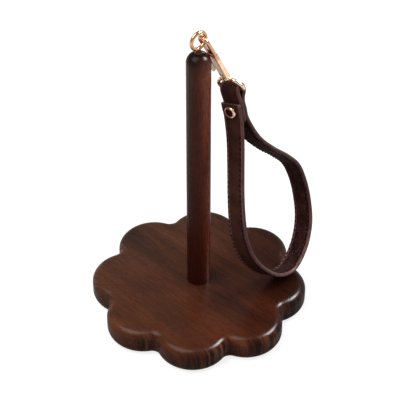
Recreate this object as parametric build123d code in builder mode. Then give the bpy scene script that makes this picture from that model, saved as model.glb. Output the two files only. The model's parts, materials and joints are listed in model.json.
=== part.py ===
from build123d import *
import math
import os

# Yarn ball holder: a flower-shaped wooden base, a round post, a screw eye in the top of the post,
# and a stitched leather wrist strap that hangs from the eye by a swivelling snap clasp.
# Origin: centre of the underside. Z points up, and one petal lies on +X. Lengths are millimetres.

# Base
base_diameter = 120.0
base_thickness = 15.0
petal_count = 8
petal_radius = 20.2
notch_radius = 4.2
edge_round = 4.8
mortise_depth = 8.0
mortise_clearance = 0.05

# Post
post_diameter = 13.0
post_top = 168.0
dome_flat = 0.5
tip_clearance = 0.5

# Screw up through the base into the post
screw_diameter = 4.0
screw_root_diameter = 2.8
screw_head_diameter = 8.0
screw_head_rim = 0.5
screw_head_cone = 2.0
screw_length = 36.0
screw_pitch = 1.8
screw_tip = 4.0
screw_recess = 0.6
screw_clearance = 0.1
slot_span = 4.4
slot_width = 1.0
slot_depth = 1.8
bite_clearance = 0.02

# Screw eye in the top of the post
eye_diameter = 11.2
eye_wire = 2.0
eye_neck_height = 1.5
eye_neck_diameter = 4.0
eye_neck_overlap = 0.4
eye_shank_diameter = 2.6
eye_root_diameter = 1.9
eye_shank_length = 16.0
eye_pitch = 1.1
eye_tip = 2.5
eye_seat_depth = 0.4

# How the clasp hangs: the lean is from the vertical, the roll is about the clasp's own axis
clasp_lean = 25.65
clasp_azimuth = -18.6
hook_roll = -17.9
bight_out = 1.69
bight_side = 0.08
bight_rise = 1.92

# Clasp body, measured along the clasp upward from the ring's bar
clasp_length = 40.3
hook_radius = 3.0
hook_wire = 2.2
nose_length = 2.6
shoulder_height = 27.6
shoulder_width = 6.2
shoulder_shift = 0.9
shoulder_thickness = 2.4
foot_height = 10.1
foot_width = 5.8
foot_shift = 0.3
foot_thickness = 3.2
body_round = 0.6
foot_wall = 1.2
head_window = 1.4
head_window_width = 3.5
gate_slot_width = 1.2
gate_slot_floor = 1.6
gate_slot_wall = 0.8

# Gate, its pin and its spring
gate_thickness = 1.0
gate_arm_width = 1.8
gate_tip_gap = 0.25
gate_pin_wall = 0.5
gate_heel_gap = 0.4
lug_gap = 1.0
lug_reach = 8.9
lug_top_rise = 6.3
lug_shelf = 0.6
lug_drop = 5.6
lug_lip = 1.3
lug_thickness = 2.4
pin_diameter = 1.2
pin_rise = 2.3
pin_side = 1.2
pin_clearance = 0.05
press_clearance = 0.01
spring_thickness = 0.3
spring_length = 8.0
spring_seat = 0.03

# Swivelling ring of the clasp
ring_wire = 2.0
ring_half_width = 7.4
ring_side_height = 3.6
ring_top_width = 9.2
ring_top_height = 7.0
ring_corner = 1.5
ring_bend = 3.0
collar_diameter = 4.6
collar_thickness = 1.6
collar_gap = 0.2
collar_round = 0.4
stem_flare_diameter = 3.6
stem_diameter = 2.2
stem_clearance = 0.05
head_diameter = 3.0
head_thickness = 1.0
head_gap = 0.1
head_round = 0.3

# Leather strap: the azimuth is that of the direction across its width
strap_width = 11.2
outer_leather = 1.1
lining_leather = 0.95
bond_line = 0.05
layer_gap = 0.1
strap_azimuth = -75.3
fold_clearance = 0.5
loop_width = 60.0
strap_base_gap = 2.4
join_offset = 1.15
join_drop = 18.0
join_end_drop = 7.0
join_bend = 12.0
near_bend_drop = 20.0
near_bend = 30.0
neck_drop = 6.3
neck_entry = 2.2
neck_bend = 5.0
tail_length = 8.5
tail_round = 4.5

# Outer face of the loop, as shares of its width and drop, down the near run and up the far one
run_shares = ((-0.315, 0.67), (0.055, 1.005), (0.56, 1.0), (0.745, 0.79), (0.71, 0.525), (0.21, 0.29))
# How far each of its bends reaches, as shares of the shorter run beside it
run_bend_shares = (0.28, 0.48, 0.48, 0.3, 0.29, 0.3)

# Stitching
stitch_margin = 1.7
thread_width = 0.7
thread_rise = 0.25
thread_gap = 0.02
# Shares of the loop's first and last straight runs that are left without thread
stitch_end_shares = (0.2, 0.6)

# Rivet through the join
rivet_drop = 11.2
rivet_shank = 2.4
rivet_cap_diameter = 6.6
rivet_cap_height = 1.4
rivet_cap_round = 0.6
rivet_dish_diameter = 3.4
rivet_dish_depth = 0.5
rivet_back_diameter = 6.0
rivet_back_thickness = 0.9
rivet_back_round = 0.3
rivet_seat = 0.03
rivet_clearance = 0.05
rivet_socket_depth = 0.6

# One overrun serves every cut
overrun = 1.0


def thread_profile(crest, root, start, end, pitch, tip):
    """Half outline of a screw shank along Z: ridges from start to the tip at end."""
    direction = math.copysign(1, end - start)
    count = int((abs(end - start) - tip) / pitch)
    points = []
    for turn in range(count):
        place = start + direction * turn * pitch
        points += [(root, place), (crest, place + direction * pitch / 2)]
    points += [(root, start + direction * count * pitch), (0, end)]
    return points


# Places that several pieces share
petal_pitch_radius = base_diameter / 2 - petal_radius
eye_radius = (eye_diameter - eye_wire) / 2
eye_height = post_top + eye_neck_height + eye_diameter / 2
mortise_floor = base_thickness - mortise_depth

clasp_down = Vector(
    math.sin(math.radians(clasp_lean)) * math.cos(math.radians(clasp_azimuth)),
    math.sin(math.radians(clasp_lean)) * math.sin(math.radians(clasp_azimuth)),
    -math.cos(math.radians(clasp_lean)),
)
level_side = Vector(math.sin(math.radians(clasp_azimuth)), -math.cos(math.radians(clasp_azimuth)), 0)
hook_side = level_side.rotate(Axis((0, 0, 0), clasp_down), hook_roll)
hook_bight = Vector(bight_out, bight_side, eye_height + bight_rise)
bar_centre = hook_bight + clasp_down * clasp_length

# The strap folds square over the ring's bar, and the bar is square to the clasp
strap_turn = math.radians(strap_azimuth - clasp_azimuth)
strap_tilt = math.atan(math.tan(math.radians(clasp_lean)) * math.cos(strap_turn))
strap_across = Vector(
    math.cos(strap_tilt) * math.cos(math.radians(strap_azimuth)),
    math.cos(strap_tilt) * math.sin(math.radians(strap_azimuth)),
    math.sin(strap_tilt),
)
strap_level = Vector(-math.sin(math.radians(strap_azimuth)), math.cos(math.radians(strap_azimuth)), 0)

# In the clasp plane X runs up the clasp and Y towards the gate; in the ring plane X runs along the bar
clasp_plane = Plane(origin=bar_centre, x_dir=-clasp_down, z_dir=clasp_down.cross(hook_side))
ring_plane = Plane(origin=bar_centre, x_dir=strap_across, z_dir=strap_across.cross(-clasp_down))
hang_plane = Plane(origin=bar_centre, x_dir=strap_level, z_dir=strap_across)


def clasp_section(height, shift):
    """Plane square to the clasp at a height above the bar, its X towards the gate."""
    place = clasp_plane.from_local_coords((height, shift, 0))
    return Plane(origin=place, x_dir=clasp_plane.y_dir, z_dir=clasp_plane.x_dir)


window_height = foot_height + foot_wall
slot_foot = window_height + head_window + gate_slot_wall
pin_height = slot_foot + pin_rise
hook_centre_height = clasp_length - hook_wire / 2 - hook_radius
nose_end = hook_centre_height - nose_length

os.makedirs("parts", exist_ok=True)

# Base plate: petals round a disc, softened notches and rounded rims
with BuildPart() as base_plate:
    with BuildSketch() as flower:
        Circle(petal_pitch_radius)
        with PolarLocations(petal_pitch_radius, petal_count):
            Circle(petal_radius)
        notches = flower.vertices().filter_by(lambda v: Vector(v).length > petal_pitch_radius)
        fillet(notches, notch_radius)
    extrude(amount=base_thickness)
    fillet(base_plate.edges().group_by(Axis.Z)[-1], edge_round)
    fillet(base_plate.edges().group_by(Axis.Z)[0], edge_round)
    with BuildSketch(Plane.XY.offset(mortise_floor)):
        Circle(post_diameter / 2 + mortise_clearance)
    extrude(amount=mortise_depth + overrun, mode=Mode.SUBTRACT)
    with BuildSketch():
        Circle(screw_diameter / 2 + screw_clearance)
    extrude(amount=base_thickness, mode=Mode.SUBTRACT)
    with BuildSketch(Plane.XZ):
        with BuildLine():
            Polyline(
                (0, 0),
                (screw_head_diameter / 2 + screw_clearance, 0),
                (screw_head_diameter / 2 + screw_clearance, screw_recess + screw_head_rim),
                (screw_diameter / 2 + screw_clearance, screw_recess + screw_head_rim + screw_head_cone),
                (0, screw_recess + screw_head_rim + screw_head_cone),
                close=True,
            )
        make_face()
    revolve(axis=Axis.Z, mode=Mode.SUBTRACT)

# Post: a round rod with a domed top, bored for the base screw and for the screw eye
screw_top = screw_recess + screw_length
eye_seat = post_top - eye_seat_depth
eye_foot = eye_seat - eye_shank_length
with BuildPart() as post:
    with BuildSketch(Plane.XY.offset(mortise_floor)):
        Circle(post_diameter / 2)
    extrude(amount=post_top - mortise_floor)
    fillet(post.edges().group_by(Axis.Z)[-1], post_diameter / 2 - dome_flat)
    with BuildSketch(Plane.XY.offset(mortise_floor)):
        Circle(screw_diameter / 2 + bite_clearance)
    extrude(amount=screw_top + tip_clearance - mortise_floor, mode=Mode.SUBTRACT)
    with BuildSketch(Plane.XY.offset(eye_seat)):
        Circle(eye_neck_diameter / 2 + bite_clearance)
    extrude(amount=eye_seat_depth + overrun, mode=Mode.SUBTRACT)
    with BuildSketch(Plane.XY.offset(eye_foot - tip_clearance)):
        Circle(eye_shank_diameter / 2 + bite_clearance)
    extrude(amount=eye_shank_length + tip_clearance, mode=Mode.SUBTRACT)

# Base screw: countersunk head with a cross slot, ridged shank and a point
screw_neck = screw_recess + screw_head_rim + screw_head_cone
screw_points = thread_profile(
    screw_diameter / 2, screw_root_diameter / 2, mortise_floor, screw_top, screw_pitch, screw_tip
)
with BuildPart() as base_screw:
    with BuildSketch(Plane.XZ):
        with BuildLine():
            Polyline(
                (0, screw_recess),
                (screw_head_diameter / 2, screw_recess),
                (screw_head_diameter / 2, screw_recess + screw_head_rim),
                (screw_diameter / 2, screw_neck),
                (screw_diameter / 2, mortise_floor),
                *screw_points,
                close=True,
            )
        make_face()
    revolve(axis=Axis.Z)
    with BuildSketch(Plane.XY.offset(screw_recess)):
        Rectangle(slot_span, slot_width)
        Rectangle(slot_width, slot_span)
    extrude(amount=slot_depth, mode=Mode.SUBTRACT)

# Screw eye: a wire ring in the XZ plane on a flared neck and a ridged shank
neck_top = post_top + eye_neck_height + eye_neck_overlap
shank_points = thread_profile(
    eye_shank_diameter / 2, eye_root_diameter / 2, eye_seat, eye_foot, eye_pitch, eye_tip
)
with BuildPart() as screw_eye:
    with Locations(Plane(origin=(0, 0, eye_height), z_dir=(0, 1, 0))):
        Torus(eye_radius, eye_wire / 2)
    with BuildSketch(Plane.XZ):
        with BuildLine():
            Polyline(
                *reversed(shank_points),
                (eye_neck_diameter / 2, eye_seat),
                (eye_neck_diameter / 2, post_top),
                (eye_wire / 2, neck_top),
                (0, neck_top),
                close=True,
            )
        make_face()
    revolve(axis=Axis.Z)

# Clasp body: the hook, the slotted body and the foot that the swivel stem turns in
with BuildPart() as clasp_body:
    with BuildLine(clasp_plane) as hook_line:
        spine = Line((shoulder_height - hook_wire, -hook_radius), (hook_centre_height, -hook_radius))
        ThreePointArc(
            (hook_centre_height, -hook_radius),
            (hook_centre_height + hook_radius, 0),
            (hook_centre_height, hook_radius),
        )
        Line((hook_centre_height, hook_radius), (nose_end, hook_radius))
    with BuildSketch(Plane(origin=spine @ 0, z_dir=spine % 0)):
        Circle(hook_wire / 2)
    sweep()
    with BuildSketch(clasp_section(foot_height, -foot_shift)):
        RectangleRounded(foot_width, foot_thickness, body_round)
    with BuildSketch(clasp_section(shoulder_height, -shoulder_shift)):
        RectangleRounded(shoulder_width, shoulder_thickness, body_round)
    loft()
    with BuildSketch(clasp_plane):
        with Locations((slot_foot, -gate_slot_floor)):
            Rectangle(
                shoulder_height - slot_foot + overrun,
                gate_slot_floor + hook_radius + overrun,
                align=(Align.MIN, Align.MIN),
            )
    extrude(amount=gate_slot_width / 2, both=True, mode=Mode.SUBTRACT)
    with BuildSketch(clasp_plane):
        with Locations((window_height, 0)):
            Rectangle(head_window, head_window_width, align=(Align.MIN, Align.CENTER))
    extrude(amount=foot_thickness, both=True, mode=Mode.SUBTRACT)
    with BuildSketch(clasp_section(foot_height - overrun, 0)):
        Circle(stem_diameter / 2 + stem_clearance)
    extrude(amount=foot_wall + 2 * overrun, mode=Mode.SUBTRACT)
    with BuildSketch(clasp_plane):
        with Locations((pin_height, pin_side)):
            Circle(pin_diameter / 2 + press_clearance)
    extrude(amount=foot_thickness, both=True, mode=Mode.SUBTRACT)

# Gate: a sprung arm that closes the hook, with a wide thumb lug beside its pin
gate_tip = nose_end - gate_tip_gap
gate_heel = slot_foot + gate_heel_gap
gate_inner = pin_side - pin_diameter / 2 - gate_pin_wall
gate_outer = foot_width / 2 - foot_shift + lug_gap
lug_points = (
    (pin_height + lug_top_rise, gate_outer),
    (pin_height + lug_shelf, lug_reach),
    (pin_height - lug_drop, lug_reach),
    (pin_height - lug_drop, lug_reach - lug_lip),
    (gate_heel, gate_outer),
)
with BuildPart() as clasp_gate:
    with BuildSketch(clasp_plane):
        with BuildLine():
            Polyline(
                (gate_tip, hook_radius - gate_arm_width / 2),
                (gate_tip, hook_radius + gate_arm_width / 2),
                *lug_points,
                (gate_heel, gate_inner),
                (pin_height + pin_diameter, gate_inner),
                close=True,
            )
        make_face()
    extrude(amount=gate_thickness / 2, both=True)
    with BuildSketch(clasp_plane) as lug:
        with BuildLine():
            Polyline(*lug_points, close=True)
        make_face()
        fillet(lug.vertices().sort_by_distance(clasp_plane.origin)[:1], lug_lip / 2)
    extrude(amount=lug_thickness / 2, both=True)
    with BuildSketch(clasp_plane):
        with Locations((pin_height, pin_side)):
            Circle(pin_diameter / 2 + pin_clearance)
    extrude(amount=gate_thickness, both=True, mode=Mode.SUBTRACT)

# Gate pin through both cheeks of the body
cheek_share = (pin_height - foot_height) / (shoulder_height - foot_height)
pin_length = foot_thickness + cheek_share * (shoulder_thickness - foot_thickness)
with BuildPart() as gate_pin:
    with BuildSketch(clasp_plane):
        with Locations((pin_height, pin_side)):
            Circle(pin_diameter / 2)
    extrude(amount=pin_length / 2, both=True)

# Gate spring: a leaf on the floor of the slot
with BuildPart() as gate_spring:
    with BuildSketch(clasp_plane):
        with Locations((gate_heel, spring_seat - gate_slot_floor)):
            Rectangle(spring_length, spring_thickness, align=(Align.MIN, Align.MIN))
    extrude(amount=gate_thickness / 2, both=True)

# Swivel ring: the wire D that the strap folds over, with its collar, stem and peened head
collar_top = foot_height - collar_gap
head_foot = window_height + head_gap
with BuildPart() as swivel_ring:
    with BuildLine(ring_plane) as ring_line:
        FilletPolyline(
            (-ring_half_width, 0),
            (ring_half_width, 0),
            (ring_half_width, ring_side_height),
            (ring_top_width / 2, ring_top_height),
            (-ring_top_width / 2, ring_top_height),
            (-ring_half_width, ring_side_height),
            radius=(ring_corner, ring_corner, ring_bend, ring_bend, ring_bend, ring_bend),
            close=True,
        )
    with BuildSketch(Plane(origin=ring_line.wire() @ 0, z_dir=ring_line.wire() % 0)):
        Circle(ring_wire / 2)
    sweep()
    with BuildSketch(clasp_plane):
        with BuildLine():
            FilletPolyline(
                (ring_top_height, 0),
                (ring_top_height, stem_flare_diameter / 2),
                (collar_top - collar_thickness, collar_diameter / 2),
                (collar_top, collar_diameter / 2),
                (collar_top, stem_diameter / 2),
                (head_foot, stem_diameter / 2),
                (head_foot, head_diameter / 2),
                (head_foot + head_thickness, head_diameter / 2),
                (head_foot + head_thickness, 0),
                radius=(0, 0, collar_round, collar_round, 0, 0, 0, head_round, 0),
                close=True,
            )
        make_face()
    revolve(axis=Axis(bar_centre, clasp_down))

# Leather strap: one band with its ends joined, drawn by its outer face in the plane it hangs in
strap_thickness = outer_leather + bond_line + lining_leather
stack_thickness = 3 * strap_thickness + 2 * layer_gap
fold_radius = ring_wire / 2 + fold_clearance + strap_thickness
near_x = join_offset - stack_thickness
lower_edge = strap_width / 2 * math.sin(strap_tilt)
loop_drop = (bar_centre.Z - base_thickness - strap_base_gap - lower_edge) / math.cos(strap_tilt)
tail_x = near_x + strap_thickness + layer_gap
tail_offset = join_offset - tail_x
run_points = [(across * loop_width, -down * loop_drop) for across, down in run_shares]
join_turn = math.atan2(run_points[-1][0] - join_offset, -join_drop - run_points[-1][1])
tail_drop = join_drop + tail_offset * math.tan(join_turn / 2)
tail_tip = (tail_x + tail_length * math.sin(join_turn), -tail_drop - tail_length * math.cos(join_turn))
near_corner = (near_x, -near_bend_drop)
far_corner = (join_offset, -join_drop)


def bend_radii(corners, shares):
    """Radius of the bend at each inner corner, from the share of the shorter run that it reaches."""
    places = [Vector(*corner) for corner in corners]
    runs = [after - before for before, after in zip(places, places[1:])]
    radii = []
    for before, after, share in zip(runs, runs[1:], shares):
        turn = math.radians(before.get_angle(after))
        radii.append(share * min(before.length, after.length) / math.tan(turn / 2))
    return radii


run_bends = bend_radii([near_corner, *run_points, far_corner], run_bend_shares)
loop_corners = [
    (near_x, -join_end_drop),
    near_corner,
    *run_points,
    far_corner,
    (join_offset, -neck_drop),
    (fold_radius, -neck_entry),
    (fold_radius, 0),
]
loop_bends = [near_bend, *run_bends, join_bend, neck_bend, neck_bend]
tail_corners = [
    (-fold_radius, 0),
    (-fold_radius, -neck_entry),
    (tail_x, -neck_drop),
    (tail_x, -tail_drop),
    tail_tip,
]
tail_bends = [neck_bend, neck_bend, join_bend + tail_offset]


def sunk_line(corners, bends, depth):
    """The line moved to its left by a depth, its bends kept round the same centres."""
    places = [Vector(*corner) for corner in corners]
    runs = [(after - before).normalized() for before, after in zip(places, places[1:])]
    sides = [Vector(-run.Y, run.X) for run in runs]
    moved = [places[0] + sides[0] * depth]
    radii = []
    for index, bend in enumerate(bends):
        both = sides[index] + sides[index + 1]
        share = depth / (1 + sides[index].dot(sides[index + 1]))
        moved.append(places[index + 1] + both * share)
        radii.append(bend - math.copysign(depth, runs[index].cross(runs[index + 1]).Z))
    moved.append(places[-1] + sides[-1] * depth)
    return FilletPolyline(*moved, radius=radii)


def strap_line(depth):
    """Line at a depth under the outer face: square end, loop, fold over the bar, tail."""
    radius = fold_radius - depth
    loop = sunk_line(loop_corners, loop_bends, depth)
    ThreePointArc((radius, 0), (0, radius), (-radius, 0))
    tail = sunk_line(tail_corners, tail_bends, depth)
    return loop @ 0, tail @ 1


def stitch_line(depth):
    """Line of the stretch that the thread runs along, clear of the join at both ends."""
    corners = [Vector(*near_corner), *(Vector(*point) for point in run_points), Vector(*far_corner)]
    first = corners[0] + (corners[1] - corners[0]) * stitch_end_shares[0]
    last = corners[-1] + (corners[-2] - corners[-1]) * stitch_end_shares[1]
    line = sunk_line([tuple(first), *run_points, tuple(last)], run_bends, depth)
    return line @ 0, line @ 1


def band(line, near, far):
    """Face between two depths of a line."""
    first, last = line(near)
    other_first, other_last = line(far)
    Line(first, other_first)
    Line(last, other_last)


rivet_plane = Plane(origin=hang_plane.from_local_coords((near_x, -rivet_drop, 0)), z_dir=-strap_level)
tail_place = hang_plane.from_local_coords((*tail_tip, 0))


# Hole that both leathers share, through the three layers of the join
with BuildSketch(rivet_plane.offset(overrun)) as rivet_hole:
    Circle(rivet_shank / 2 + rivet_clearance)

# Outer leather
with BuildPart() as strap_outer:
    with BuildSketch(hang_plane):
        with BuildLine():
            band(strap_line, 0, outer_leather)
        make_face()
    extrude(amount=strap_width / 2, both=True)
    corners = strap_outer.edges().filter_by(lambda e: abs(e.length - outer_leather) < bond_line)
    fillet(corners.sort_by_distance(tail_place)[:2], tail_round)
    extrude(rivet_hole.sketch, amount=-(stack_thickness + 2 * overrun), mode=Mode.SUBTRACT)

# Lining
with BuildPart() as strap_lining:
    with BuildSketch(hang_plane):
        with BuildLine():
            band(strap_line, outer_leather + bond_line, strap_thickness)
        make_face()
    extrude(amount=strap_width / 2, both=True)
    corners = strap_lining.edges().filter_by(lambda e: abs(e.length - lining_leather) < bond_line)
    fillet(corners.sort_by_distance(tail_place)[:2], tail_round)
    extrude(rivet_hole.sketch, amount=-(stack_thickness + 2 * overrun), mode=Mode.SUBTRACT)


def stitch_row(across):
    """One row of thread: a strand on the outer face and one on the lining."""
    row_plane = hang_plane.offset(across)
    with BuildPart() as row:
        with BuildSketch(row_plane):
            with BuildLine():
                band(stitch_line, -thread_gap, -thread_gap - thread_rise)
            make_face()
        with BuildSketch(row_plane):
            with BuildLine():
                band(stitch_line, strap_thickness + thread_gap, strap_thickness + thread_gap + thread_rise)
            make_face()
        extrude(amount=thread_width / 2, both=True)
    return row


row_place = strap_width / 2 - stitch_margin
stitching_near = stitch_row(row_place)
stitching_far = stitch_row(-row_place)

# Rivet cap: a rounded button with a dished middle and a socket for the shank
with BuildPart() as rivet_cap:
    with BuildSketch(rivet_plane.offset(rivet_seat)):
        Circle(rivet_cap_diameter / 2)
    extrude(amount=rivet_cap_height)
    rim = rivet_cap.faces().sort_by(Axis(rivet_plane.origin, rivet_plane.z_dir))[-1].edges()
    fillet(rim, rivet_cap_round)
    with BuildSketch(rivet_plane.offset(rivet_seat + rivet_cap_height)):
        Circle(rivet_dish_diameter / 2)
    extrude(amount=-rivet_dish_depth, mode=Mode.SUBTRACT)
    with BuildSketch(rivet_plane.offset(rivet_seat)):
        Circle(rivet_shank / 2 + rivet_clearance)
    extrude(amount=rivet_socket_depth, mode=Mode.SUBTRACT)

# Rivet post: the back plate and the shank through the join
rivet_back = rivet_plane.offset(-stack_thickness - rivet_seat)
with BuildPart() as rivet_post:
    with BuildSketch(rivet_back):
        Circle(rivet_back_diameter / 2)
    extrude(amount=-rivet_back_thickness)
    rim = rivet_post.faces().sort_by(Axis(rivet_plane.origin, rivet_plane.z_dir))[0].edges()
    fillet(rim, rivet_back_round)
    with BuildSketch(rivet_back):
        Circle(rivet_shank / 2)
    extrude(amount=stack_thickness + 2 * rivet_seat + rivet_socket_depth - rivet_clearance)

pieces = {
    "base_plate": base_plate,
    "post": post,
    "base_screw": base_screw,
    "screw_eye": screw_eye,
    "clasp_body": clasp_body,
    "clasp_gate": clasp_gate,
    "gate_pin": gate_pin,
    "gate_spring": gate_spring,
    "swivel_ring": swivel_ring,
    "strap_outer": strap_outer,
    "strap_lining": strap_lining,
    "stitching_near": stitching_near,
    "stitching_far": stitching_far,
    "rivet_cap": rivet_cap,
    "rivet_post": rivet_post,
}
for name, piece in pieces.items():
    piece.part.label = name
    export_step(piece.part, f"parts/{name}.step")
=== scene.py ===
import json
import math
import bmesh
import bpy
from mathutils import Matrix, Vector


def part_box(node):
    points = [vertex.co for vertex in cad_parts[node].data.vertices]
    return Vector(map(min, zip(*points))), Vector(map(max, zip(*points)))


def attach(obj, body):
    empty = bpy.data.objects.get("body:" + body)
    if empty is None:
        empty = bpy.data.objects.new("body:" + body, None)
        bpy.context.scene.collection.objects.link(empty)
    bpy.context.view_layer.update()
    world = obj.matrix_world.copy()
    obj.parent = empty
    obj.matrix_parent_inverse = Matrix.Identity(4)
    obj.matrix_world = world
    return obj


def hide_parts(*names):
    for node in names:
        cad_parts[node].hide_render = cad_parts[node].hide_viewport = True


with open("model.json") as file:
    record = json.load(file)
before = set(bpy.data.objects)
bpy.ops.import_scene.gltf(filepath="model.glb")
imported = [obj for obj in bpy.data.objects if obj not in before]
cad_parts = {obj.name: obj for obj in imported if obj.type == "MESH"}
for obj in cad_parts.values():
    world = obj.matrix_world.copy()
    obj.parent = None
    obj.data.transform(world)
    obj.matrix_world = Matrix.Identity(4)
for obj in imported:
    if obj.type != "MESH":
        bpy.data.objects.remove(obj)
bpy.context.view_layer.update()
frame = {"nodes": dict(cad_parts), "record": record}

# The yarn ball holder dressed for the photograph: walnut and rose gold finishes for the CAD pieces,
# and a twisted leather strap with painted edges and sewn stitches in place of its plain solids.
# Lengths are metres, written as millimetres times mm. Angles are degrees. Colours are linear.

mm = 0.001

# Camera, in the frame of the part
camera_place = Vector((-412.0, -486.6, 609.8)) * mm
camera_elevation = 40.15
camera_turn = -40.32
camera_lens = 139.53
camera_reach = 20000.0 * mm

# Lamps, placed by right, away and up in the photograph, with their power in watts
lamp_target = Vector((0.0, 0.0, 60.0)) * mm
key_place = Vector((-300.0, -140.0, 740.0)) * mm
key_size = 580.0 * mm
key_power = 5.4
window_place = Vector((500.0, 120.0, 540.0)) * mm
window_size = 260.0 * mm
window_power = 1.7
glint_place = Vector((620.0, 120.0, 680.0)) * mm
glint_size = 320.0 * mm
glint_power = 18.0

# Floor and surroundings: metal sees the floor dark near the holder and nearly white further out
floor_radius = 6000.0 * mm
floor_corners = 64
floor_drop = 0.2 * mm
floor_tone = 0.3
floor_white = 0.82
shine_near = 120.0 * mm
shine_far = 262.86 * mm
shine_near_share = 0.12
shine_far_share = 0.95
studio_tint = (1.0, 0.98, 0.96)
studio_light = 0.28
studio_shine_share = 0.12

# Strap section
strap_width = 12.1 * mm
strap_thickness = 2.1 * mm
strap_edge_round = 1.05 * mm
edge_steps = 10
near_row_margin = 2.0 * mm
far_row_margin = 1.25 * mm
channel_half_width = 0.5 * mm
channel_depth = 0.14 * mm
channel_rim_share = 1.6
channel_bank_share = 0.4
lining_channel_share = 0.3

# Strap ends
strap_step = 1.1 * mm
fine_per_step = 4
tail_round = 5.0 * mm
tail_tip_share = 0.12
end_bevel = 0.35 * mm
end_thickness_share = 0.72

# Strap's outer face where it is riveted and folded: level and up from the bar it hangs on
near_level = -5.35 * mm
near_end_drop = 7.0 * mm
near_join_drop = 14.0 * mm
near_join_twist = 1.0
far_level = 1.15 * mm
far_join_drop = 16.5 * mm
tail_level = -3.15 * mm
neck_drop = 6.3 * mm
neck_entry_drop = 2.2 * mm
fold_radius = 3.6 * mm
fold_steps = 6

# The loop that hangs free: level, up and across from the bar in millimetres, and the twist in degrees
loop_points = (
    (-8.4, -27.0, 0.2, 6.0),
    (-12.4, -42.4, -0.6, 9.0),
    (-15.9, -56.0, -1.4, 9.0),
    (-18.4, -69.5, -2.2, 7.0),
    (-19.2, -82.5, -3.0, 4.0),
    (-16.0, -96.8, -3.8, 1.0),
    (-8.0, -111.0, -4.0, -1.5),
    (3.0, -122.0, -3.7, -2.0),
    (15.3, -125.6, -2.9, -3.5),
    (27.6, -118.7, -1.6, -4.5),
    (35.2, -106.0, -0.3, -4.5),
    (37.4, -91.5, 0.5, -4.0),
    (36.5, -77.3, 1.1, -3.0),
    (32.6, -64.4, 1.6, 0.5),
    (24.3, -53.6, 2.0, 3.0),
    (14.0, -42.6, 1.9, 3.0),
    (5.6, -30.8, 1.1, 1.5),
)
tail_points = ((-2.2, -20.6, 0.0, 0.0),)

# Stitches
stitch_pitch = 2.9 * mm
stitch_length = 2.1 * mm
stitch_radius = 0.45 * mm
stitch_sink = 0.55 * mm
stitch_slant = 0.12 * mm
stitch_first = 17.0 * mm
stitch_last = 44.0 * mm
stitch_seat_share = 0.6
stitch_taper_share = 0.45
stitch_arch_power = 3
stitch_sides = 8
stitch_rings = 7

# Walnut: its figure from dark to pale, and its layers of grain
walnut_tones = (
    (0.39, (0.040, 0.0150, 0.0095)),
    (0.46, (0.068, 0.0225, 0.0130)),
    (0.54, (0.096, 0.0300, 0.0150)),
    (0.61, (0.140, 0.0450, 0.0200)),
)
# Repeats in a metre along, across and through the fibres, then the noise's detail, roughness, distortion
grain_layers = {
    "wave": ((6, 22, 12), 2.0, 0.5, 0.0),
    "broad": ((9, 75, 20), 3.0, 0.5, 0.6),
    "figure": ((45, 420, 60), 3.0, 0.6, 0.5),
    "fibre": ((170, 1900, 900), 2.0, 0.6, 0.0),
    "pores": ((420, 3000, 1500), 1.0, 0.5, 0.0),
    "rings": ((18, 330, 22), 3.0, 0.65, 0.3),
}
noise_middle = 0.5
figure_shares = {"broad": 0.45, "wave": 0.40, "figure": 0.15}
fibre_tints = ((0.32, (0.80, 0.78, 0.76)), (0.66, (1.07, 1.05, 1.04)))
fibre_tint_share = 0.9
pore_tints = ((0.30, (0.35, 0.32, 0.32)), (0.40, (1.0, 1.0, 1.0)))
pore_tint_share = 0.6
warm_shares = (1.0, 0.95, 0.92)
end_grain_power = 1.5
wood_roughness = (0.20, 0.33)

# Walnut of the base: washes of tone across it and up its side, with shade, partly painted, darkest toward
# the far right, and hues partly painted from shade and reflection
base_grain_turn = -95.7
base_gloss = 0.14
base_contrast = 1.0
base_painted_shade = ((0.0, 0.55), (0.4, 0.78), (0.6, 0.98), (0.9, 1.0))
# Which way the painted shade runs: right, away and up in the photograph
base_painted_shade_way = (-0.75, -0.65, 0.0)
base_painted_shade_reach = 62.97 * mm
base_painted_shade_waver = 0.5
base_hue_reach = 60.24 * mm
base_hue_waver = 0.3
# Hue washes, partly the wood's own tone and partly painted: redder where painted shade falls to the right
# and near, greyer where a painted reflection lies on the far side
base_rightward_hue_and_shade = ((0.0, (1.03, 1.38, 1.56)), (1.0, (0.85, 0.62, 0.52)))
base_away_hue_and_reflection = ((0.0, (1.13, 0.86, 0.58)), (1.0, (0.70, 0.85, 1.03)))
base_side = ((0.0, (0.66, 0.62, 0.60)), (1.0, (1, 1, 1)))
base_side_low = 7.143 * mm
base_side_high = 14.286 * mm
base_side_waver = 0.5
base_end_tints = ((0.42, (0.24, 0.25, 0.28)), (0.50, (1.35, 1.42, 1.55)), (0.62, (3.20, 4.60, 6.00)))

# Walnut of the post: washes of tone round it and up it; round it they are painted light on its near right
# and painted shade on its near left, and up it partly painted light
post_grain_turn = 90.0
post_gloss = 0.10
post_contrast = 0.25
post_light_and_shade = ((0.05, 0.30), (0.30, 0.32), (0.64, 0.50), (0.78, 0.68), (0.88, 1.15), (1.0, 2.70))
post_light_and_shade_way = (0.85, -0.5, 0.0214)
post_light_and_shade_start = -5.431 * mm
post_light_and_shade_end = 9.052 * mm
post_light_and_shade_waver = 0.15
# Up the post: partly the wood's tone, partly painted light, palest a little above mid height
post_height_light = (
    (0.12, (1.12, 0.70, 0.86)),
    (0.30, (1.42, 0.96, 1.02)),
    (0.62, (1.55, 1.25, 1.32)),
    (0.86, (1.12, 1.00, 1.08)),
)
post_height_light_end = 166.667 * mm
post_height_light_waver = 0.2
post_dome = ((0.0, (1, 1, 1)), (1.0, (0.46, 0.52, 0.62)))
post_dome_low = 156.8 * mm
post_dome_high = 164.8 * mm
post_dome_waver = 0.5
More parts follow.
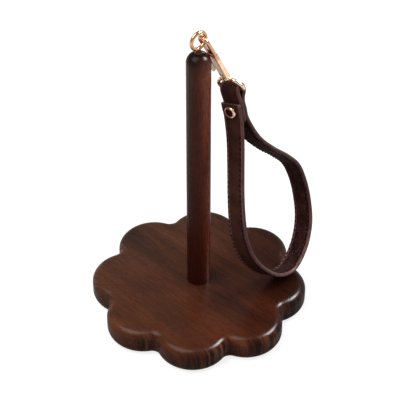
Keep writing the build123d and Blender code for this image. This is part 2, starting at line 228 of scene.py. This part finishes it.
# Behind the post the painted shade of its near left is lifted again
post_back = ((0.0, (1, 1, 1)), (1.0, (2.6, 2.6, 2.6)))
post_back_reach = 4.5455 * mm
post_back_waver = 0.0
post_end_tints = ((0.40, (0.15, 0.17, 0.20)), (0.60, (0.30, 0.34, 0.39)))

# Metal: the gold plating darkens between two heights and above them: painted reflection of the dark walnut
# post on the clasp's neck and hook and on the eye
gold_tones = ((0.35, (0.88, 0.54, 0.36)), (0.65, (0.99, 0.75, 0.55)))
neck_reflection_low = 161.0 * mm
neck_reflection_high = 164.0 * mm
neck_reflection_tints = ((0.0, (1, 1, 1)), (1.0, (0.72, 0.58, 0.48)))
plate_roughness = (0.10, 0.26)
# Painted dark reflection of the walnut post on the screw eye below a height, where it stands in the post
# and just above it
eye_reflection_tone = (0.16, 0.060, 0.035)
eye_reflection_height = 170.6 * mm
rivet_roughness = (0.12, 0.28)
# Painted dark reflection in the rivet cap's dish, out to a radius from its centre
rivet_dish_reflection = (0.10, 0.025, 0.014)
rivet_reflection_radius = 2.3 * mm
steel_tones = ((0.3, (0.42, 0.42, 0.44)), (0.7, (0.62, 0.62, 0.63)))
steel_roughness = (0.26, 0.42)
turning_repeats = (300, 300, 6000)
turning_detail = 2.0

# Leather: the grain's cells and their relief, then how dark the painted shade in the creases between them
# is
outer_leather = {
    "tones": ((0.3, (0.044, 0.0138, 0.0096)), (0.7, (0.088, 0.0308, 0.0220))),
    "cell": 0.8 * mm,
    "relief": (0.30 * mm, 0.8),
    "crease_shade_share": 0.5,
    "roughness": (0.51, 0.67),
}
lining_leather = {
    "tones": ((0.3, (0.034, 0.0104, 0.0094)), (0.7, (0.132, 0.0460, 0.0392))),
    "cell": 1.3 * mm,
    "relief": (1.10 * mm, 0.8),
    "crease_shade_share": 0.85,
    "roughness": (0.45, 0.61),
}
leather_gloss = 0.055
# Crease profile of the cells, used for their relief and for the painted shade in the creases
pebble_tones = ((0.0, (0, 0, 0)), (0.12, (0.7, 0.7, 0.7)), (0.4, (1, 1, 1)))
warp_cell_share = 0.6
warp_detail = 2.0

# Edge paint: painted light makes it pale at the bottom of the loop, less so up to a height, and darker
# above it
paint_tones = ((0.3, (0.115, 0.056, 0.050)), (0.7, (0.205, 0.112, 0.100)))
paint_wear_tints = ((0.3, (0.7, 0.66, 0.66)), (0.6, (1, 1, 1)))
paint_wear_share = 0.5
paint_gloss = 0.14
paint_roughness = (0.30, 0.44)
edge_light_low = 18.0 * mm
edge_light_high = 62.0 * mm
edge_light_tints = ((0.0, (1.35, 1.30, 1.28)), (1.0, (0.74, 0.64, 0.66)))

# Thread: darker on the outer face than on the lining
outer_thread_tones = ((0.2, (0.003, 0.0015, 0.0015)), (0.8, (0.010, 0.0050, 0.0045)))
lining_thread_tones = ((0.2, (0.010, 0.0042, 0.0038)), (0.8, (0.028, 0.0115, 0.0100)))
thread_roughness = 0.7
thread_gloss = 0.08
lay_repeats = 900.0
lay_distortion = 2.0

# Noise on the other finishes: repeats in a metre, then detail and roughness
surface_noises = {
    "plate_wear": (420.0, 4.0, 0.6),
    "plate_ripple": (900.0, 2.0, 0.5),
    "leather_blotch": (130.0, 4.0, 0.6),
    "leather_fine": (5200.0, 2.0, 0.6),
    "paint_runs": (260.0, 4.0, 0.6),
    "paint_wear": (1500.0, 3.0, 0.6),
}

# Relief too fine to model: its depth, and how strongly it shows
fibre_relief = (0.05 * mm, 0.5)
pore_relief = (0.08 * mm, 0.35)
ripple_relief = (0.03 * mm, 0.4)
fine_relief = (0.03 * mm, 0.5)
paint_relief = (0.05 * mm, 0.5)
lay_relief = (0.05 * mm, 0.5)

# Sockets of the Mix node that carry a colour mix: the factor, both colours and the result
mix_inputs = (0, 6, 7)
mix_output = 2


def from_photo(right, away, up):
    """A place given as right, away and up in the photograph, turned to the frame of the part."""
    return Matrix.Rotation(math.radians(camera_turn), 3, "Z") @ Vector((right, away, up))


def add_object(name, data):
    """An object in the scene with the data given."""
    thing = bpy.data.objects.new(name, data)
    bpy.context.scene.collection.objects.link(thing)
    return thing


def mesh_data(name, mesh):
    """Mesh data of a bmesh, which is freed."""
    data = bpy.data.meshes.new(name)
    mesh.to_mesh(data)
    mesh.free()
    return data


def new_piece(name, mesh, body, materials):
    """A piece of the object from a bmesh: it rides on a body and takes the finish of a slot."""
    data = mesh_data(name, mesh)
    for polygon in data.polygons:
        polygon.use_smooth = True
    for material in materials:
        data.materials.append(material)
    piece = add_object(name, data)
    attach(piece, body)
    return piece


def paint(material, *nodes):
    """Gives CAD nodes their material."""
    for node in nodes:
        data = frame["nodes"][node].data
        data.materials.clear()
        data.materials.append(material)


def add_node(tree, kind, **settings):
    """A shader node: settings that name an attribute set it, others set the input of that name."""
    node = tree.nodes.new(kind)
    for name, value in settings.items():
        if hasattr(node, name):
            setattr(node, name, value)
        else:
            node.inputs[name.replace("_", " ")].default_value = value
    return node


def new_material(name):
    """A material with its Principled shader ready: (material, node tree, shader)."""
    material = bpy.data.materials.new(name)
    material.use_nodes = True
    tree = material.node_tree
    return material, tree, tree.nodes["Principled BSDF"]


def part_place(tree):
    """The place on an object: for a piece at rest, the place in the frame of the part."""
    return add_node(tree, "ShaderNodeTexCoord").outputs["Object"]


def grain_place(tree, turn=(0, 0, 0), stretch=(1, 1, 1)):
    """The place turned and then stretched, for a texture to read."""
    turned = add_node(tree, "ShaderNodeMapping", Rotation=turn)
    tree.links.new(part_place(tree), turned.inputs["Vector"])
    stretched = add_node(tree, "ShaderNodeMapping", Scale=stretch)
    tree.links.new(turned.outputs["Vector"], stretched.inputs["Vector"])
    return stretched.outputs["Vector"]


def height_node(tree):
    """The height of a place over the floor."""
    axes = add_node(tree, "ShaderNodeSeparateXYZ")
    tree.links.new(part_place(tree), axes.inputs[0])
    return axes.outputs["Z"]


def vector_node(tree, operation, first, second=None, result="Value"):
    """Vector math on an output and, where the operation takes two, an output or a constant."""
    node = add_node(tree, "ShaderNodeVectorMath", operation=operation)
    tree.links.new(first, node.inputs[0])
    if isinstance(second, Vector):
        node.inputs[1].default_value = second
    elif second is not None:
        tree.links.new(second, node.inputs[1])
    return node.outputs[result]


def noise_node(tree, place, repeats, detail, roughness=0.5, distortion=0.0, result="Fac"):
    """Noise over a place."""
    noise = add_node(
        tree, "ShaderNodeTexNoise", Scale=repeats, Detail=detail, Roughness=roughness, Distortion=distortion
    )
    tree.links.new(place, noise.inputs["Vector"])
    return noise.outputs[result]


def surface_noise(tree, name):
    """One of the noises on metal, leather and paint."""
    return noise_node(tree, grain_place(tree), *surface_noises[name])


def ramp_node(tree, source, stops):
    """Colour ramp with (position, colour) stops: its colour output."""
    ramp = add_node(tree, "ShaderNodeValToRGB")
    elements = ramp.color_ramp.elements
    while len(elements) < len(stops):
        elements.new(0.5)
    for element, (position, colour) in zip(elements, stops):
        element.position = position
        element.color = (*colour, 1)
    tree.links.new(source, ramp.inputs["Fac"])
    return ramp.outputs["Color"]


def math_node(tree, operation, first, second=0.0):
    """Math on two values, each an output or a number."""
    node = add_node(tree, "ShaderNodeMath", operation=operation)
    for socket, value in zip(node.inputs, (first, second)):
        if isinstance(value, (int, float)):
            socket.default_value = value
        else:
            tree.links.new(value, socket)
    return node.outputs[0]


def mix_node(tree, factor, first, second, blend="MIX"):
    """Mix of two colours, each an output or an RGB tuple; the factor is an output or a number."""
    node = add_node(tree, "ShaderNodeMix", data_type="RGBA", blend_type=blend)
    sockets = [node.inputs[index] for index in mix_inputs]
    for socket, value in zip(sockets, (factor, first, second)):
        if isinstance(value, tuple):
            socket.default_value = (*value, 1)
        elif isinstance(value, (int, float)):
            socket.default_value = value
        else:
            tree.links.new(value, socket)
    return node.outputs[mix_output]


def tint_node(tree, share, colour, source, tints):
    """A colour multiplied, by a share, with a ramp of tints over a source."""
    return mix_node(tree, share, colour, ramp_node(tree, source, tints), "MULTIPLY")


def range_node(tree, source, low, high, start=0.0, end=1.0):
    """The source's start to end mapped to low to high."""
    node = add_node(tree, "ShaderNodeMapRange", From_Min=start, From_Max=end, To_Min=low, To_Max=high)
    tree.links.new(source, node.inputs["Value"])
    return node.outputs["Result"]


def bump_node(tree, height, relief, under=None):
    """Bump from a height, over another bump if given: its normal output."""
    depth, strength = relief
    bump = add_node(tree, "ShaderNodeBump", Distance=depth, Strength=strength)
    tree.links.new(height, bump.inputs["Height"])
    if under is not None:
        tree.links.new(under, bump.inputs["Normal"])
    return bump.outputs["Normal"]


def warm_stops(shade):
    """Ramp stops from (position, strength): each tint is a little warmer than grey."""
    return [(position, tuple(strength * share for share in warm_shares)) for position, strength in shade]


def walnut_colour(tree, layers, contrast):
    """The wood's own colour: its figure, its fibres and its dark pores."""
    figure = None
    for name, share in figure_shares.items():
        part = math_node(tree, "MULTIPLY", layers[name], share)
        figure = part if figure is None else math_node(tree, "ADD", figure, part)
    figure = range_node(tree, figure, noise_middle - contrast / 2, noise_middle + contrast / 2)
    colour = ramp_node(tree, figure, walnut_tones)
    colour = tint_node(tree, fibre_tint_share, colour, layers["fibre"], fibre_tints)
    return tint_node(tree, pore_tint_share, colour, layers["pores"], pore_tints)


def end_grain_share(tree, grain):
    """How squarely a face cuts the fibres, which run along the direction given."""
    normal = add_node(tree, "ShaderNodeNewGeometry").outputs["Normal"]
    facing = vector_node(tree, "DOT_PRODUCT", normal, grain)
    return math_node(tree, "POWER", math_node(tree, "ABSOLUTE", facing), end_grain_power)


def washed(tree, colour, wash, broad):
    """A colour under one wash: (direction, start, end, waver, tints).

    The tints run from start to end along the direction, and their edge wavers with the broad figure.
    """
    direction, start, end, waver, tints = wash
    along = vector_node(tree, "DOT_PRODUCT", part_place(tree), direction.normalized() / (end - start))
    reach = math_node(tree, "SUBTRACT", along, start / (end - start))
    drift = math_node(tree, "MULTIPLY", math_node(tree, "SUBTRACT", broad, noise_middle), waver)
    return tint_node(tree, 1.0, colour, math_node(tree, "ADD", reach, drift), tints)


def walnut(name, turn, grain, gloss, contrast, washes, end_tints):
    """Oiled walnut whose fibres run along X after the turn; grain is that direction in the part.

    The end tints streak the faces that cut the fibres, and each wash is a slow change of tone, which on the
    base and the post is in part painted light and shade.
    """
    material, tree, shader = new_material(name)
    layers = {
        layer: noise_node(tree, grain_place(tree, turn, repeats), 1.0, *settings)
        for layer, (repeats, *settings) in grain_layers.items()
    }
    colour = walnut_colour(tree, layers, contrast)
    colour = tint_node(tree, end_grain_share(tree, grain), colour, layers["rings"], end_tints)
    for wash in washes:
        colour = washed(tree, colour, wash, layers["broad"])
    tree.links.new(colour, shader.inputs["Base Color"])
    tree.links.new(range_node(tree, layers["fibre"], *wood_roughness), shader.inputs["Roughness"])
    shader.inputs["Specular IOR Level"].default_value = gloss
    relief = bump_node(tree, layers["fibre"], fibre_relief)
    relief = bump_node(tree, layers["pores"], pore_relief, relief)
    tree.links.new(relief, shader.inputs["Normal"])
    return material


def gold_nodes(name, roughness=plate_roughness):
    """Rose gold plating with faint wear, casting ripple and, high up, painted reflection of the dark post:
    (material, node tree, shader, colour).
    """
    material, tree, shader = new_material(name)
    wear = surface_noise(tree, "plate_wear")
    neck_reflection = range_node(tree, height_node(tree), 0.0, 1.0, neck_reflection_low, neck_reflection_high)
    colour = tint_node(tree, 1.0, ramp_node(tree, wear, gold_tones), neck_reflection, neck_reflection_tints)
    tree.links.new(colour, shader.inputs["Base Color"])
    shader.inputs["Metallic"].default_value = 1.0
    tree.links.new(range_node(tree, wear, *roughness), shader.inputs["Roughness"])
    ripple = bump_node(tree, surface_noise(tree, "plate_ripple"), ripple_relief)
    tree.links.new(ripple, shader.inputs["Normal"])
    return material, tree, shader, colour


def eye_gold(name):
    """Rose gold with a painted dark reflection of the walnut post on it where it stands in the post and
    just above it.
    """
    material, tree, shader, colour = gold_nodes(name)
    eye_reflection = math_node(tree, "LESS_THAN", height_node(tree), eye_reflection_height)
    tree.links.new(mix_node(tree, eye_reflection, colour, eye_reflection_tone), shader.inputs["Base Color"])
    return material


def rivet_gold(name, centre):
    """Rose gold with a painted dark reflection in the dish round its centre."""
    material, tree, shader, colour = gold_nodes(name, rivet_roughness)
    away = vector_node(tree, "DISTANCE", part_place(tree), centre)
    reflecting_dish = math_node(tree, "LESS_THAN", away, rivet_reflection_radius)
    tree.links.new(mix_node(tree, reflecting_dish, colour, rivet_dish_reflection), shader.inputs["Base Color"])
    return material


def steel(name):
    """Plain steel with fine turning marks."""
    material, tree, shader = new_material(name)
    marks = noise_node(tree, grain_place(tree, stretch=turning_repeats), 1.0, turning_detail)
    tree.links.new(ramp_node(tree, marks, steel_tones), shader.inputs["Base Color"])
    shader.inputs["Metallic"].default_value = 1.0
    tree.links.new(range_node(tree, marks, *steel_roughness), shader.inputs["Roughness"])
    return material


def leather(name, tones, cell, relief, crease_shade_share, roughness):
    """Grained leather: rounded cells between fine creases, with painted shade darkening the colour in the
    creases.
    """
    material, tree, shader = new_material(name)
    place = grain_place(tree)
    nudge = add_node(tree, "ShaderNodeVectorMath", operation="SCALE")
    nudge.inputs["Scale"].default_value = cell
    warp = noise_node(tree, place, warp_cell_share / cell, warp_detail, result="Color")
    tree.links.new(warp, nudge.inputs[0])
    warped = vector_node(tree, "ADD", place, nudge.outputs[0], "Vector")
    cells = add_node(tree, "ShaderNodeTexVoronoi", feature="DISTANCE_TO_EDGE", Scale=1 / cell)
    tree.links.new(warped, cells.inputs["Vector"])
    pebble = ramp_node(tree, cells.outputs["Distance"], pebble_tones)
    blotch = surface_noise(tree, "leather_blotch")
    colour = mix_node(tree, crease_shade_share, ramp_node(tree, blotch, tones), pebble, "MULTIPLY")
    tree.links.new(colour, shader.inputs["Base Color"])
    tree.links.new(range_node(tree, blotch, *roughness), shader.inputs["Roughness"])
    shader.inputs["Specular IOR Level"].default_value = leather_gloss
    cell_bump = bump_node(tree, pebble, relief)
    fine_bump = bump_node(tree, surface_noise(tree, "leather_fine"), fine_relief, cell_bump)
    tree.links.new(fine_bump, shader.inputs["Normal"])
    return material


def edge_paint(name):
    """Mauve-brown edge paint with faint runs and worn places, and painted light that makes it pale low on
    the loop and darker higher up.
    """
    material, tree, shader = new_material(name)
    runs = surface_noise(tree, "paint_runs")
    worn = surface_noise(tree, "paint_wear")
    edge_light = range_node(tree, height_node(tree), 0.0, 1.0, edge_light_low, edge_light_high)
    colour = ramp_node(tree, runs, paint_tones)
    colour = tint_node(tree, paint_wear_share, colour, worn, paint_wear_tints)
    colour = tint_node(tree, 1.0, colour, edge_light, edge_light_tints)
    tree.links.new(colour, shader.inputs["Base Color"])
    tree.links.new(range_node(tree, runs, *paint_roughness), shader.inputs["Roughness"])
    shader.inputs["Specular IOR Level"].default_value = paint_gloss
    tree.links.new(bump_node(tree, worn, paint_relief), shader.inputs["Normal"])
    return material


def waxed_thread(name, tones):
    """Dark waxed thread with its lay showing."""
    material, tree, shader = new_material(name)
    wave = add_node(tree, "ShaderNodeTexWave", Scale=lay_repeats, Distortion=lay_distortion)
    tree.links.new(grain_place(tree), wave.inputs["Vector"])
    lay = wave.outputs["Fac"]
    tree.links.new(ramp_node(tree, lay, tones), shader.inputs["Base Color"])
    shader.inputs["Roughness"].default_value = thread_roughness
    shader.inputs["Specular IOR Level"].default_value = thread_gloss
    tree.links.new(bump_node(tree, lay, lay_relief), shader.inputs["Normal"])
    return material


# Axes that the strap hangs by: across its width, level and up, from the ring's bar
joints = {joint["name"]: joint for joint in frame["record"]["behaviour"]["joints"]}
bar = Vector(joints["strap_swing"]["pos_m"])
across = Vector(joints["strap_swing"]["axis"]).normalized()
level = Vector((-across.y, across.x, 0)).normalized()
up = across.cross(level)


def in_metres(points):
    """Places with lengths in millimetres and a twist in degrees, as keys with lengths in metres."""
    return [(x * mm, y * mm, z * mm, twist) for x, y, z, twist in points]


def straight_keys(place, *drops):
    """Keys straight below one another without twist: their level place, and their drops below the bar."""
    return [(place, -drop, 0, 0) for drop in drops]


def strap_keys():
    """Key places of the outer face from the near end, round the loop and the fold, to the tail's tip."""
    near_middle = (near_end_drop + near_join_drop) / 2
    far_middle = (far_join_drop + neck_drop) / 2
    keys = straight_keys(near_level, near_end_drop, near_middle)
    keys.append((near_level, -near_join_drop, 0, near_join_twist))
    keys += in_metres(loop_points)
    keys += straight_keys(far_level, far_join_drop, far_middle, neck_drop)
    keys += straight_keys(fold_radius, neck_entry_drop)
    for step in range(fold_steps + 1):
        angle = math.pi * step / fold_steps
        keys.append((fold_radius * math.cos(angle), fold_radius * math.sin(angle), 0, 0))
    keys += straight_keys(-fold_radius, neck_entry_drop)
    keys += straight_keys(tail_level, neck_drop, far_middle, far_join_drop)
    return keys + in_metres(tail_points)


def key_slopes(places, spans):
    """Slope of the smooth curve at each key, from the keys on both sides of it."""
    slopes = [(places[1] - places[0]) / spans[0]]
    for index in range(1, len(places) - 1):
        before, here, after = places[index - 1 : index + 2]
        come, go = spans[index - 1 : index + 1]
        slopes.append((here - before) / come - (after - before) / (come + go) + (after - here) / go)
    return slopes + [(places[-1] - places[-2]) / spans[-1]]


def smooth_line(keys, step):
    """Evenly spaced places on a smooth curve through the keys, each (level, up, across, twist)."""
    places = [Vector(key) for key in keys]
    spans = [math.sqrt((after - before).xyz.length) for before, after in zip(places, places[1:])]
    slopes = key_slopes(places, spans)
    fine = []
    for index, span in enumerate(spans):
        start, end = places[index : index + 2]
        leave, reach = slopes[index] * span, slopes[index + 1] * span
        pieces = max(fine_per_step, int((end - start).xyz.length / step * fine_per_step))
        for piece in range(pieces):
            t = piece / pieces
            fine.append(
                start * (2 * t**3 - 3 * t**2 + 1)
                + leave * (t**3 - 2 * t**2 + t)
                + end * (3 * t**2 - 2 * t**3)
                + reach * (t**3 - t**2)
            )
    fine.append(places[-1])
    return even_places(fine, step)


def even_places(fine, step):
    """The first of many close places, then each one that is a step further on, and the last."""
    even = [fine[0]]
    walked = 0.0
    for before, after in zip(fine, fine[1:]):
        walked += (after - before).xyz.length
        if walked >= step:
            even.append(after)
            walked = 0.0
    even.append(fine[-1])
    return even


def strap_frames():
    """Along the strap: (distance, centre of the outer face, direction, width's direction, outward)."""
    line = smooth_line(strap_keys(), strap_step)
    points = [bar + level * x + up * y + across * z for x, y, z, _ in line]
    frames = []
    distance = 0.0
    for index, (point, (*_, twist)) in enumerate(zip(points, line)):
        ahead = points[min(index + 1, len(points) - 1)] - points[max(index - 1, 0)]
        direction = ahead.normalized()
        wide = (across - direction * across.dot(direction)).normalized()
        wide = Matrix.Rotation(math.radians(twist), 3, direction) @ wide
        if index:
            distance += (point - points[index - 1]).length
        frames.append((distance, point, direction, wide, direction.cross(wide)))
    return frames


def frame_at(frames, distance):
    """The strap's frame at a distance, blended from the two nearest frames."""
    for before, after in zip(frames, frames[1:]):
        if after[0] >= distance:
            share = (distance - before[0]) / (after[0] - before[0])
            return tuple(one.lerp(two, share) for one, two in zip(before[1:], after[1:]))
    return frames[-1][1:]


def half_section(face):
    """Half of the section, from the middle of the outer face round the edge to the lining's middle."""
    outer = [(aside, depth, "outer") for aside, depth in face]
    edge = []
    for step in range(edge_steps + 1):
        angle = math.pi * step / edge_steps
        aside = strap_width / 2 - strap_edge_round + strap_edge_round * math.sin(angle)
        edge.append((aside, strap_thickness / 2 * (1 - math.cos(angle)), "edge"))
    lining = []
    for aside, depth in reversed(face):
        lining.append((aside, strap_thickness - depth * lining_channel_share, "lining"))
    return outer + edge + lining


def strap_section():
    """Closed outline of the strap's section: (across, depth below the outer face, kind of surface).

    The near row of stitches lies in a channel, and the far row runs right at the edge.
    """
    channel = strap_width / 2 - near_row_margin
    rim = channel_half_width * channel_rim_share
    bank_depth = channel_depth * channel_bank_share
    near_face = (
        (0.0, 0.0),
        (channel / 2, 0.0),
        (channel - rim, 0.0),
        (channel - channel_half_width, bank_depth),
        (channel, channel_depth),
        (channel + channel_half_width, bank_depth),
        (channel + rim, 0.0),
    )
    far_face = ((0.0, 0.0), (channel / 2, 0.0), (channel, 0.0))
    mirrored = [(-aside, depth, kind) for aside, depth, kind in reversed(half_section(far_face)[1:-1])]
    return half_section(near_face) + mirrored


def skin(mesh, rings):
    """Faces round a row of rings and over both ends: (side faces in order, end faces)."""
    sides = []
    for before, after in zip(rings, rings[1:]):
        for index in range(len(before)):
            other = (index + 1) % len(before)
            sides.append(mesh.faces.new((before[index], before[other], after[other], after[index])))
    ends = [mesh.faces.new(list(reversed(rings[0]))), mesh.faces.new(rings[-1])]
    return sides, ends


def build_strap(frames):
    """The leather band, with bevelled ends and a rounded tail; its materials are outer, edge and lining."""
    section = strap_section()
    kinds = {"outer": 0, "edge": 1, "lining": 2}
    mesh = bmesh.new()
    rings = []
    for distance, point, _, wide, outward in frames:
        left = frames[-1][0] - distance
        width_share = 1.0
        if left < tail_round:
            width_share = max(tail_tip_share, math.sqrt(1 - (1 - left / tail_round) ** 2))
        bevel_share = min(1.0, min(distance, left) / end_bevel)
        thickness_share = end_thickness_share + (1 - end_thickness_share) * bevel_share
        ring = []
        for aside, depth, _ in section:
            depth = strap_thickness / 2 + (depth - strap_thickness / 2) * thickness_share
            ring.append(mesh.verts.new(point + wide * aside * width_share - outward * depth))
        rings.append(ring)
    sides, ends = skin(mesh, rings)
    for number, face in enumerate(sides):
        first = section[number % len(section)][2]
        second = section[(number + 1) % len(section)][2]
        face.material_index = kinds["edge" if "edge" in (first, second) else first]
    for face in ends:
        face.material_index = kinds["edge"]
    bmesh.ops.recalc_face_normals(mesh, faces=mesh.faces)
    return mesh


def add_stitch(mesh, frames, start, row, side):
    """One stitch, its ends sunk in the leather; side is 1 on the outer face and -1 on the lining."""
    seat = channel_depth * stitch_seat_share
    face_depth = seat if side > 0 else strap_thickness - seat
    rings = []
    for step in range(stitch_rings):
        share = step / (stitch_rings - 1)
        point, _, wide, outward = frame_at(frames, start + share * stitch_length)
        arch = abs(2 * share - 1) ** stitch_arch_power
        slant = stitch_slant * (2 * share - 1)
        centre = point + wide * (row + slant) - outward * (face_depth + side * stitch_sink * arch)
        radius = stitch_radius * (1 - stitch_taper_share * arch)
        ring = []
        for corner in range(stitch_sides):
            angle = 2 * math.pi * corner / stitch_sides
            spoke = wide * radius * math.cos(angle) + outward * radius * math.sin(angle)
            ring.append(mesh.verts.new(centre + spoke))
        rings.append(ring)
    sides, ends = skin(mesh, rings)
    for face in sides + ends:
        face.material_index = 0 if side > 0 else 1


def build_stitches(frames, row):
    """One row of stitches on both faces; its materials are the outer thread and the lining's."""
    mesh = bmesh.new()
    sewn = frames[-1][0] - stitch_last - stitch_first
    for stitch in range(int(sewn / stitch_pitch)):
        for side in (1, -1):
            add_stitch(mesh, frames, stitch_first + stitch * stitch_pitch, row, side)
    bmesh.ops.recalc_face_normals(mesh, faces=mesh.faces)
    return mesh


def add_camera():
    """The camera of the photograph."""
    data = bpy.data.cameras.new("camera")
    data.lens = camera_lens
    data.clip_end = camera_reach
    camera = add_object("camera", data)
    camera.location = camera_place
    camera.rotation_euler = (math.radians(90 - camera_elevation), 0, math.radians(camera_turn))
    bpy.context.scene.camera = camera


def add_softbox(name, photo_place, size, power, lights=True):
    """A square soft lamp that faces the holder; with lights off it only shows as a glint."""
    data = bpy.data.lights.new(name, "AREA")
    data.size = size
    data.energy = power
    lamp = add_object(name, data)
    lamp.location = from_photo(*photo_place)
    lamp.visible_diffuse = lights
    lamp.rotation_euler = (lamp.location - lamp_target).to_track_quat("Z", "Y").to_euler()


def seen_node(tree, mirrored_share):
    """How white a ray sees the background: fully from the camera or through glass, by a share in metal."""
    ray = add_node(tree, "ShaderNodeLightPath")
    straight = math_node(tree, "MAXIMUM", ray.outputs["Is Camera Ray"], ray.outputs["Is Transmission Ray"])
    mirrored = math_node(tree, "MULTIPLY", ray.outputs["Is Glossy Ray"], mirrored_share)
    return math_node(tree, "MAXIMUM", straight, mirrored)


def floor_material():
    """Grey that keeps the shadow, with white on top for the camera and, further out, for metal."""
    material = bpy.data.materials.new("pale_floor")
    material.use_nodes = True
    tree = material.node_tree
    tree.nodes.clear()
    diffuse = add_node(tree, "ShaderNodeBsdfDiffuse", Color=(floor_tone, floor_tone, floor_tone, 1))
    glow = add_node(tree, "ShaderNodeEmission", Color=(1, 1, 1, 1))
    away = vector_node(tree, "LENGTH", part_place(tree))
    shine = range_node(tree, away, shine_near_share, shine_far_share, shine_near, shine_far)
    white = math_node(tree, "MULTIPLY", seen_node(tree, shine), floor_white)
    tree.links.new(white, glow.inputs["Strength"])
    both = add_node(tree, "ShaderNodeAddShader")
    tree.links.new(diffuse.outputs[0], both.inputs[0])
    tree.links.new(glow.outputs[0], both.inputs[1])
    output = add_node(tree, "ShaderNodeOutputMaterial")
    tree.links.new(both.outputs[0], output.inputs["Surface"])
    return material


def add_floor():
    """Wide round floor just below the base."""
    mesh = bmesh.new()
    bmesh.ops.create_circle(mesh, cap_ends=True, segments=floor_corners, radius=floor_radius)
    data = mesh_data("floor", mesh)
    data.materials.append(floor_material())
    floor = add_object("floor", data)
    floor.location = (0, 0, -floor_drop)


def add_world():
    """Even studio surroundings: white behind the part, and softer where they light it."""
    world = bpy.data.worlds.new("studio")
    world.use_nodes = True
    bpy.context.scene.world = world
    tree = world.node_tree
    tree.nodes.clear()
    lit = add_node(tree, "ShaderNodeBackground", Color=(*studio_tint, 1), Strength=studio_light)
    seen = add_node(tree, "ShaderNodeBackground", Color=(1, 1, 1, 1), Strength=1.0)
    mix = add_node(tree, "ShaderNodeMixShader")
    tree.links.new(seen_node(tree, studio_shine_share), mix.inputs[0])
    tree.links.new(lit.outputs[0], mix.inputs[1])
    tree.links.new(seen.outputs[0], mix.inputs[2])
    output = add_node(tree, "ShaderNodeOutputWorld")
    tree.links.new(mix.outputs[0], output.inputs["Surface"])


def base_walnut():
    """The base's walnut: painted shade darkest to the far right, redder to the right and near and greyer
    far, partly as painted shade and reflection, darker down its side.
    """
    shade = warm_stops(base_painted_shade)
    washes = (
        (from_photo(*base_painted_shade_way), -base_painted_shade_reach, base_painted_shade_reach, base_painted_shade_waver, shade),
        (from_photo(1, 0, 0), -base_hue_reach, base_hue_reach, base_hue_waver, base_rightward_hue_and_shade),
        (from_photo(0, 1, 0), -base_hue_reach, base_hue_reach, base_hue_waver, base_away_hue_and_reflection),
        (from_photo(0, 0, 1), base_side_low, base_side_high, base_side_waver, base_side),
    )
    turn = math.radians(base_grain_turn)
    grain = Matrix.Rotation(-turn, 3, "Z") @ Vector((1, 0, 0))
    return walnut("walnut_base", (0, 0, turn), grain, base_gloss, base_contrast, washes, base_end_tints)


def post_walnut():
    """The post's walnut: painted light on its near right and painted shade on its near left, palest at mid
    height from partly painted light, dark on the dome, paler behind where the painted shade is lifted.
    """
    shade = warm_stops(post_light_and_shade)
    washes = (
        (from_photo(*post_light_and_shade_way), post_light_and_shade_start, post_light_and_shade_end, post_light_and_shade_waver, shade),
        (from_photo(0, 0, 1), 0.0, post_height_light_end, post_height_light_waver, post_height_light),
        (from_photo(0, 0, 1), post_dome_low, post_dome_high, post_dome_waver, post_dome),
        (from_photo(0, 1, 0), 0.0, post_back_reach, post_back_waver, post_back),
    )
    turn = (0, math.radians(post_grain_turn), 0)
    return walnut("walnut_post", turn, Vector((0, 0, 1)), post_gloss, post_contrast, washes, post_end_tints)


# Stage
add_camera()
add_world()
add_floor()
add_softbox("key_above", key_place, key_size, key_power)
add_softbox("window_right", window_place, window_size, window_power)
add_softbox("glint_right", glint_place, glint_size, glint_power, lights=False)
bpy.context.scene.view_settings.view_transform = "Standard"

# Finishes of the CAD nodes
paint(base_walnut(), "base_plate")
paint(post_walnut(), "post")
paint(gold_nodes("rose_gold_plate")[0], "clasp_body", "clasp_gate", "gate_pin", "swivel_ring", "rivet_post")
paint(eye_gold("rose_gold_eye"), "screw_eye")
paint(steel("plain_steel"), "base_screw", "gate_spring")
low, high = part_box("rivet_cap")
paint(rivet_gold("rivet_gold", (low + high) / 2), "rivet_cap")

# Strap
frames = strap_frames()
strap_materials = (
    leather("leather_outer", **outer_leather),
    edge_paint("leather_edge"),
    leather("leather_lining", **lining_leather),
)
strap = new_piece("strap_band", build_strap(frames), "strap", strap_materials)
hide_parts("strap_outer", "strap_lining")

# Thread
threads = (
    waxed_thread("thread_dark", outer_thread_tones),
    waxed_thread("thread_lining", lining_thread_tones),
)
near_place = strap_width / 2 - near_row_margin
far_place = far_row_margin - strap_width / 2
near_row = new_piece("stitches_near", build_stitches(frames, near_place), "strap", threads)
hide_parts("stitching_near")
far_row = new_piece("stitches_far", build_stitches(frames, far_place), "strap", threads)
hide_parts("stitching_far")
